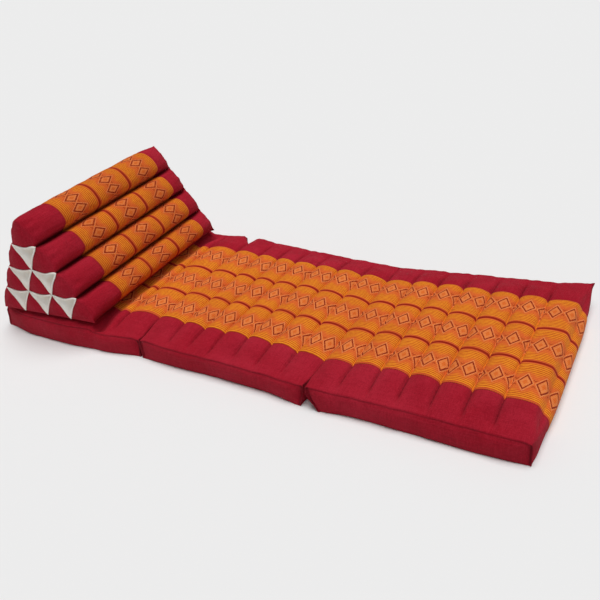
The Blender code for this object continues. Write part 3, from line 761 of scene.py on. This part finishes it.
def stitchesAlong(path):
    # diamond-shaped beads, evenly spaced along a path: ends = centre plus and minus half a length along it
    way = np.concatenate([[0], np.cumsum(np.linalg.norm(np.diff(path, axis=0), axis=1))])
    at = np.arange(thread["pitch"] / 2, way[-1], thread["pitch"])
    centre = np.stack([np.interp(at, way, path[:, axis]) for axis in range(3)], -1)
    ahead = np.stack([np.interp(at + 0.001, way, path[:, axis]) for axis in range(3)], -1) - centre
    ahead = ahead / np.maximum(np.linalg.norm(ahead, axis=1, keepdims=True), 1e-9)
    across = np.cross(ahead, (0.0, 0.0, 1.0))
    up = np.cross(across, ahead)
    centre = centre + up * thread["lift"]
    long, thin = ahead * thread["halfLength"], thread["radius"]
    return np.stack([centre + long, centre - long, centre + across * thin, centre - across * thin,
                     centre + up * thin, centre - up * thin], 1)[:-1]


def addStitches(paths):
    # eight faces a stitch, the same for all
    points = np.concatenate([stitchesAlong(path) for path in paths])
    face = np.array([(0, 2, 4), (2, 1, 4), (1, 3, 4), (3, 0, 4), (2, 0, 5), (1, 2, 5), (3, 1, 5), (0, 3, 5)])
    faces = (face[None] + 6 * np.arange(len(points))[:, None, None]).reshape(-1, 3)
    addPiece("stitches", points.reshape(-1, 3), [faces], redThread)
    print("stitches ready,", len(points))


addStitches(stitchPaths)


# The triangle cushion: its section is a triangle of straight grid lines, each side swelling in four tubes

def gridCorner(row, column):
    # a corner of the end's grid: down from the apex by rows, then across by columns
    apex, back, front = (np.array(wedge[key]) for key in ("apex", "backFoot", "frontFoot"))
    share = column / np.maximum(row, 1e-9)
    down = np.asarray(row / wedge["rows"])[..., None]
    return apex + down * ((back - apex) + np.asarray(share)[..., None] * (front - back))


def wedgeOutline():
    # round the section, back, base and front: straight point, and swelled point = straight point plus the
    # outward normal times the bulge times (1 - |2t - 1| to the roundness) to the fullness, less the crease
    steps, rows = wedge["steps"], wedge["rows"]
    count = steps * rows
    line = np.arange(count) / steps
    straight = np.concatenate([
        gridCorner(line, np.zeros(count)), gridCorner(np.full(count, float(rows)), line),
        gridCorner(rows - line, rows - line)])
    t = np.tile(np.arange(steps) / steps, 3 * rows)
    ahead = np.roll(straight, -1, axis=0) - straight
    ahead = np.repeat(ahead[::steps], steps, axis=0)
    normal = np.stack([ahead[:, 1], -ahead[:, 0]], -1)
    normal = normal / np.linalg.norm(normal, axis=1, keepdims=True)
    outward = np.sign(((straight - straight.mean(axis=0)) * normal).sum(axis=1)[steps // 2::steps])
    normal = normal * np.repeat(outward, steps)[:, None]
    side = np.repeat(["back", "base", "front"], count)
    hung = np.where(side == "front", t ** wedge["hang"], 1 - (1 - t) ** wedge["hang"])
    arch = (1 - np.abs(2 * hung - 1) ** wedge["roundness"]) ** wedge["fullness"]
    toCrease = np.minimum(t, 1 - t)
    inward = wedge["crease"] * bell(toCrease, wedge["creaseHalf"])
    # no crease at the ridge and the back foot; at the front foot the tube tucks in under itself
    here = np.arange(3 * count)
    toCorner = np.minimum(here % count, count - here % count)
    atFront = (here >= 2 * count) & (here < 2 * count + steps // 2)
    inward = inward * np.where(toCorner < steps // 2, 0.0, 1.0)
    inward = np.where(atFront, wedge["tuck"] * bell(t, wedge["tuckHalf"]), inward)
    swelled = straight + normal * (wedge["bulge"] * arch - inward)[:, None]
    base = side == "base"
    swelled[base, 1] = wedge["base"]
    back, front = wedge["backFoot"][0], wedge["frontFoot"][0]
    swelled[base, 0] = back + (straight[base, 0] - back) * (swelled[2 * count, 0] - back) / (front - back)
    swelled[:, 1] = np.maximum(swelled[:, 1], wedge["base"])
    return straight, swelled, side, t


def settle(x, y, z):
    # the ends stand askew, and the ridge sinks towards the far end
    drop = wedge["slope"] * y * (z - wedge["base"]) / (wedge["apex"][1] - wedge["base"])
    return np.stack([x, y + wedge["skew"] * (x - wedge["backFoot"][0]), z - drop], -1)


def trianglePlaces(count):
    # rows and columns of a triangular grid, its numbers, and its faces
    row, column = np.tril_indices(count + 1)
    number = np.zeros((count + 1, count + 1), int)
    number[row, column] = np.arange(len(row))
    r, c = np.tril_indices(count)
    up = np.stack([number[r, c], number[r + 1, c], number[r + 1, c + 1]], -1)
    r, c = np.tril_indices(count, -1)
    down = np.stack([number[r, c], number[r + 1, c + 1], number[r, c + 1]], -1)
    return row, column, number, np.concatenate([up, down])


def endRelief(row, column):
    # out of the end's plane at grid places: each tube's end is a low dome, 27 times the product of its three
    # corner weights, and each pocket between tubes a hollow, steep from its top and right edges
    u, v = row, column
    r, c = np.floor(u + 1e-9), np.floor(v + 1e-9)
    fu, fv = u - r, v - c
    inTube = fv <= fu + 1e-9
    a, b, d = 1 - fu, fu - fv, fv
    dome = np.where(inTube, 27 * np.clip(a * b * d, 0, None), 0)
    pa, pb, pd = 1 - fv, fv - fu, fu
    hollow = np.min([ease(part / reach) for part, reach in zip((pa, pb, pd), wedge["pocketEdge"])], axis=0)
    hollow = np.where(inTube, 0, np.clip(hollow, 0, 1))
    return dome * wedge["puff"] - hollow * wedge["pocket"]


def endPlan(row, column):
    # places in the end's plane: the grid, with each pocket's top edge sagging and its right edge drawn in, by
    # 4 s (1 - s) along the edge and less with distance from it
    u, v = np.broadcast_arrays(np.asarray(row, float), np.asarray(column, float))
    toRow, toColumn = u - np.round(u), v - np.round(v)
    clear = ease((u - v) / 0.5) * ease((u - 0.5) / 0.5)
    along, down = v - np.floor(v), u - np.floor(u)
    sag = wedge["sagDown"] * 4 * along * (1 - along) * ease(1 - np.abs(toRow) / 0.45) * clear
    sag = sag * ease((wedge["rows"] - u) / 0.4)
    draw = wedge["sagIn"] * 4 * down * (1 - down) * ease(1 - np.abs(toColumn) / 0.40) * clear * ease(v / 0.4)
    place = gridCorner(u, v)
    return place + np.stack([-draw, -sag], -1)


def shapeWedge():
    # the section carried from the near end to the far one, swelling by a quarter circle within the end
    # rounding, and closed at each end by the triangular grid
    straight, swelled, side, t = wedgeOutline()
    near, far, seam, turn = wedge["near"], wedge["far"], wedge["panelHalf"], wedge["endRound"]
    angle = np.linspace(0, np.pi / 2, 10)
    cap = turn * (1 - np.cos(angle))
    knots = [-seam - 0.006, -seam - 0.003, -seam, -seam + 0.003, -seam + 0.006, -0.092, -0.084, 0.084, 0.092,
             seam - 0.006, seam - 0.003, seam, seam + 0.003, seam + 0.006]
    middle = spaced([near + turn, *knots, far - turn], wedge["gap"])
    ys = np.concatenate([near + cap[:-1], middle[middle > near + cap[-2] + 0.001], (far - cap[:-1])[::-1]])
    ys = np.unique(np.round(ys, 6))
    ys = ys[(ys <= far - turn) | (ys >= far - cap[-2] - 1e-6)]
    toEnd = np.minimum(ys - near, far - ys)
    share = np.sqrt(np.clip(1 - (1 - np.clip(toEnd / turn, 0, 1)) ** 2, 0, 1))
    rings, count = len(ys), len(t)
    section = straight[None] + (swelled - straight)[None] * share[:, None, None]

    # lumps, puckers on both sides of each crease, gathers towards the ends, and the panel's sewn edges
    ahead = np.roll(section, -1, axis=1) - np.roll(section, 1, axis=1)
    normal = np.stack([ahead[..., 1], -ahead[..., 0]], -1)
    normal = normal / np.linalg.norm(normal, axis=-1, keepdims=True)
    around = np.cumsum(np.linalg.norm(np.diff(swelled, axis=0, append=swelled[:1]), axis=1))
    free = np.where(side == "base", 0.0, 1.0) * share[:, None]
    uneven = lumps(ys[:, None], around[None, :], wedge["lumpPitch"])
    toCrease = np.minimum(t, 1 - t)[None, :]
    puckers = ripple(ys, wedge["puckerPitch"], 3 * wedge["rows"])[np.arange(count) // wedge["steps"]].T
    gather = ripple(around, wedge["gatherPitch"], 2)[(ys > 0).astype(int)]
    gather = gather * bell(toEnd - wedge["gatherAt"], wedge["gatherHalf"])[:, None]
    start, end = wedge["puckerFade"]
    push = wedge["lump"] * uneven * ease(toCrease / wedge["lumpReach"])
    push = push + wedge["pucker"] * puckers * np.exp(-toCrease / end) * (1 - np.exp(-toCrease / start))
    push = push + wedge["gather"] * gather * ease(toCrease / wedge["gatherReach"])
    dip = bell(np.abs(ys) - seam, mat["seamHalf"])[:, None]
    push = push - mat["seamDip"] * dip
    section = section + normal * (push * free)[..., None]
    section[..., 1] = np.maximum(section[..., 1], wedge["base"])
    body = settle(section[..., 0], ys[:, None] * np.ones(count), section[..., 1])
    points = [body.reshape(-1, 3)]
    index = np.arange(rings * count).reshape(rings, count)
    nextIndex = np.roll(index, -1, axis=1)
    quads = np.stack([index[:-1], index[1:], nextIndex[1:], nextIndex[:-1]], -1).reshape(-1, 4)

    # the ends share their edge points with the first and last ring
    fine = wedge["steps"] * wedge["rows"]
    row, column, number, faces = trianglePlaces(fine)
    r, c = row / wedge["steps"], column / wedge["steps"]
    relief = endRelief(r, c)
    place = endPlan(r, c)
    steps = np.arange(fine)
    edge = np.concatenate([number[steps, 0], number[fine, steps], number[fine - steps, fine - steps]])
    triangles = []
    total = rings * count
    for y, ring, out in ((near, 0, -1.0), (far, rings - 1, 1.0)):
        merged = np.full(len(row), -1)
        merged[edge] = index[ring]
        inner = merged < 0
        merged[inner] = total + np.arange(inner.sum())
        total += inner.sum()
        points.append(settle(place[inner, 0], y + out * relief[inner], place[inner, 1]))
        triangles.append(merged[faces] if out > 0 else merged[faces][:, ::-1])
    points = np.concatenate(points)
    # painted shade darkens the cloth in each crease between tubes, but not at the ridge
    sewn = np.zeros(len(points))
    ring = bell(np.minimum(t, 1 - t), wedge["darkHalf"]) * (side != "base") * wedge["creaseDark"]
    toRidge = np.minimum(np.arange(count), count - np.arange(count))
    ring = np.where(toRidge < wedge["steps"] // 2, 0.0, ring)
    sewn[:rings * count] = (ring[None, :] * np.clip(share, 0.3, 1)[:, None]).ravel()
    return dict(points=points, quads=quads, triangles=np.concatenate(triangles),
                index=index, ys=ys, t=t, sewn=sewn)


shape = shapeWedge()
points, quads, triangles = shape["points"], shape["quads"], shape["triangles"]
# all faces are turned outwards: away from the middle round the tubes, and along y at the two ends
if (faceNormals(points, quads) * (points[quads[:, 0]] - points.mean(axis=0))).sum() < 0:
    quads = quads[:, ::-1]
fromMiddle = points[triangles[:, 0], 1] - (wedge["near"] + wedge["far"]) / 2
if (faceNormals(points, triangles)[:, 1] * fromMiddle).sum() < 0:
    triangles = triangles[:, ::-1]
# the cover carries the painted shade in its creases
cover = addPiece("coverWedge", points, [quads, triangles], redCotton, sewn=shape["sewn"])
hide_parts("wedge_body")

# the woven panel goes up the back and down the front in one sheet
count = len(shape["t"]) // 3
rowsIn = np.nonzero(np.abs(shape["ys"]) <= wedge["panelHalf"] + 1e-6)[0]
around = np.concatenate([np.arange(2 * count + 2, 3 * count), np.arange(0, count - 1)])[::-1]
places = shape["index"][np.ix_(rowsIn, around)].T


def weaveOfTubes(along):
    # each tube, from crease to crease, takes the same length of the weave. walk = the way to each crease
    tubes, tube = 2 * wedge["rows"], around / wedge["steps"]
    place = np.sort(np.where(tube < wedge["rows"], wedge["rows"] - tube, 4 * wedge["rows"] - tube))
    whole = np.floor(place + 1e-9).astype(int)
    walk = np.interp(np.arange(tubes + 1.0), place, along)
    length = walk[np.minimum(whole + 1, tubes)] - walk[whole]
    share = np.clip((along - walk[whole]) / np.maximum(length, 1e-6), 0, 1)
    return (whole + share) * wedge["tubeWeave"] + wedge["weaveStart"]


# the panel carries the same painted shade in the creases as the cover
addSheet("panelWedge", "wedge_band", points[places], wedge["panelThick"], wedgeWovenShaded,
         woven=weaveOfTubes, sewn=shape["sewn"][places])
print("triangle cushion", len(points), "points")


# White cups in the pockets of both ends, each with a folded lip on its top and right edges

cup = dict(
    lift=0.0016, backLift=0.00056, inset=0.004, steps=16, pleat=0.0007, pleats=9,
    lipRadius=0.0031, lipOut=0.0032, lipSteps=12, lipInset=0.02, hemShare=0.45,
)


def sweep(path, radius, sides=8):
    # a round profile carried along a path: path + radius (cos a across + sin a up), with a cone at each end
    along = np.gradient(path, axis=0)
    along = along / np.linalg.norm(along, axis=1, keepdims=True)
    across = np.cross(along, (0.0, 1.0, 0.0))
    across = across / np.linalg.norm(across, axis=1, keepdims=True)
    up = np.cross(across, along)
    angle = np.arange(sides) * 2 * np.pi / sides
    ring = np.cos(angle)[None, :, None] * across[:, None] + np.sin(angle)[None, :, None] * up[:, None]
    points = (path[:, None] + ring * np.asarray(radius).reshape(-1, 1, 1)).reshape(-1, 3)
    index = np.arange(len(path) * sides).reshape(len(path), sides)
    turned = np.roll(index, -1, axis=1)
    quads = np.stack([index[:-1], turned[:-1], turned[1:], index[1:]], -1).reshape(-1, 4)
    first, last = len(points), len(points) + 1
    points = np.concatenate([points, path[:1], path[-1:]])
    caps = np.concatenate([
        np.stack([np.full(sides, first), turned[0], index[0]], -1),
        np.stack([np.full(sides, last), index[-1], turned[-1]], -1)])
    return points, quads, caps


def addCup(name, node, row, column, y, out):
    # a triangular grid over the pocket: out of plane = the pocket's hollow plus a lift, with pleats.
    # Its corners are (row, column), (row, column + 1) and (row + 1, column + 1)
    steps, lipSteps, hem = cup["steps"], cup["lipSteps"], cup["hemShare"]
    r, c, number, faces = trianglePlaces(steps)
    shrink = 1 - 3 * cup["inset"]
    second, third = (cup["inset"] + shrink * weight for weight in ((r - c) / steps, c / steps))
    u, v = row + third, column + second + third
    plan, relief = endPlan(u, v), endRelief(u, v)
    pleats = cup["pleat"] * np.sin(v * 2 * np.pi * cup["pleats"] + row) * ease(relief / -0.02)
    top, back = (settle(plan[:, 0], y + out * (relief + lift + pleats), plan[:, 1])
                 for lift in (cup["lift"], cup["backLift"]))
    n, line = len(r), np.arange(steps)
    rim = np.concatenate([number[line, 0], number[steps, line], number[steps - line, steps - line]])
    wall = np.stack([rim, np.roll(rim, -1), np.roll(rim, -1) + n, rim + n], -1)
    sides = [faces, faces[:, ::-1] + n, wall]
    if out < 0:
        sides = [side[:, ::-1] for side in sides]

    # the folded lip runs along the top edge and down the right edge, then back up the slope as a thin hem
    part, bend = np.linspace(0, 1, lipSteps + 1), 2 * lipSteps + 1
    alongTop = endPlan(np.full(lipSteps + 1, float(row)), column + part)
    alongRight = endPlan(row + part[1:], np.full(lipSteps, column + 1.0))
    alongSlope = endPlan(row + 1 - part[1:], column + 1 - part[1:])
    plan = np.concatenate([alongTop, alongRight, alongSlope])
    plan = plan + (plan[:bend].mean(axis=0) - plan) * cup["lipInset"]
    lip = settle(plan[:, 0], np.full(len(plan), y + out * cup["lipOut"]), plan[:, 1])
    toTip = np.minimum(np.arange(bend), np.arange(bend)[::-1])
    taper = np.maximum(np.sqrt(np.clip(toTip / 3, 0.15, 1)), hem)
    taper = np.concatenate([taper, np.full(lipSteps, hem)])
    lipPoints, lipQuads, lipCaps = sweep(lip, cup["lipRadius"] * taper)
    faceSets = [*sides, lipQuads + 2 * n, lipCaps + 2 * n]
    piece = addPiece(name, np.concatenate([top, back, lipPoints]), faceSets, whiteCotton)
    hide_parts(node)
    area = float(np.linalg.norm(faceNormals(top, faces), axis=1).sum() / 2)
    return area


places = [(row, column) for row in range(1, wedge["rows"]) for column in range(row)]
for end, y, out in (("near", wedge["near"], -1.0), ("far", wedge["far"], 1.0)):
    for n, (row, column) in enumerate(places, start=1):
        area = addCup(f"cup{end.capitalize()}{n}", f"dimple_{end}_{n}", row, column, y, out)
print("white cups ready, cloth of each", round(area, 4), "square metres")


# Joining strips: cloth across each gap, and from the head segment's end to the cushion's back foot

strips = dict(
    halfLength=0.335, thickness=0.0018, waver=0.0003, columns=68, rows=7,
    gaps=[  # sheet, node, what it rests on, from, to, height and sag
        ("stripLow", "strip_low", "coverHead", -0.3543, -0.3418, 0.0009, 0.0),
        ("stripHigh", "strip_high", "coverMiddle", 0.3567, 0.3640, 0.0560, 0.0040),
    ],
    cushion=(-1.058, -1.028), cushionLift=0.0017,
)


def addStrips():
    # a gap's strip hangs by the sag times 4 t (1 - t); the cushion's strip lies on the head segment's top
    ys = np.linspace(-1, 1, strips["columns"]) * strips["halfLength"]
    t = np.linspace(0, 1, strips["rows"])[:, None]
    for name, node, under, start, end, height, sag in strips["gaps"]:
        z = height + sag * (1 - 4 * t * (1 - t)) + strips["waver"] * ripple(ys, (0.02, 0.06), 1)
        grid = np.stack(np.broadcast_arrays(mix(start, end, t), ys, z), -1)
        addSheet(name, node, grid, strips["thickness"], redCotton, lift=0.0)
    low, high = strips["cushion"]
    rows = np.nonzero((headShape["x"] >= low) & (headShape["x"] <= high))[0]
    cols = np.nonzero(np.abs(headShape["ys"]) <= strips["halfLength"])[0]
    grid = headShape["points"][headShape["number"][rows[:, None], cols[None, :], -1]]
    addSheet("stripCushion", "strip_cushion", grid, strips["thickness"], redCotton,
             lift=strips["cushionLift"])


addStrips()


# Floor, light and camera

studio = dict(
    floor=shade(236, 236, 236), floorReach=30.0, world=0.19,
    eye=(1.3289, -1.7302, 1.4187), azimuth=34.863, elevation=32.003, roll=-9.677, lens=40.8,
    # name, where it shines from, strength, and how soft it is in degrees
    lamps=[("key", (0.12, 0.03, 1.0), 2.572, 44.0)],
)


def addFloor():
    mesh = bpy.data.meshes.new("floor")
    reach = studio["floorReach"]
    corners = [(-reach, -reach, 0), (reach, -reach, 0), (reach, reach, 0), (-reach, reach, 0)]
    mesh.from_pydata(corners, [], [(0, 1, 2, 3)])
    material, _, shader = newMaterial("floorPaint", 0.9, 0.0)
    shader.inputs["Specular IOR Level"].default_value = 0.0
    shader.inputs["Base Color"].default_value = studio["floor"]
    mesh.materials.append(material)
    floor = bpy.data.objects.new("floor", mesh)
    bpy.context.scene.collection.objects.link(floor)


def addLamps():
    world = bpy.data.worlds.new("studio")
    world.use_nodes = True
    sky = world.node_tree.nodes["Background"]
    sky.inputs[0].default_value, sky.inputs[1].default_value = (1, 1, 1, 1), studio["world"]
    bpy.context.scene.world = world
    for name, place, strength, softness in studio["lamps"]:
        lamp = bpy.data.lights.new(name, "SUN")
        lamp.energy, lamp.angle = strength, math.radians(softness)
        obj = bpy.data.objects.new(name, lamp)
        obj.rotation_euler = (-Vector(place)).to_track_quat("-Z", "Y").to_euler()
        bpy.context.scene.collection.objects.link(obj)


def addCamera():
    az, el, roll = (math.radians(studio[key]) for key in ("azimuth", "elevation", "roll"))
    ahead = Vector((-math.sin(az) * math.cos(el), math.cos(az) * math.cos(el), -math.sin(el)))
    right = ahead.cross(Vector((0, 0, 1))).normalized()
    up = right.cross(ahead)
    rolled = right * math.cos(roll) + up * math.sin(roll), up * math.cos(roll) - right * math.sin(roll)
    turned = Matrix((*rolled, -ahead))
    camera = bpy.data.cameras.new("camera")
    camera.sensor_width, camera.lens = 36.0, studio["lens"]
    camera.clip_start, camera.clip_end = 0.05, 100.0
    obj = bpy.data.objects.new("camera", camera)
    bpy.context.scene.collection.objects.link(obj)
    place = Matrix.Translation(Vector(studio["eye"]) + Vector(centred))
    obj.matrix_world = place @ turned.transposed().to_4x4()
    bpy.context.scene.camera = obj


addFloor()
addLamps()
addCamera()
bpy.context.scene.view_settings.view_transform = "Standard"
print("studio ready")
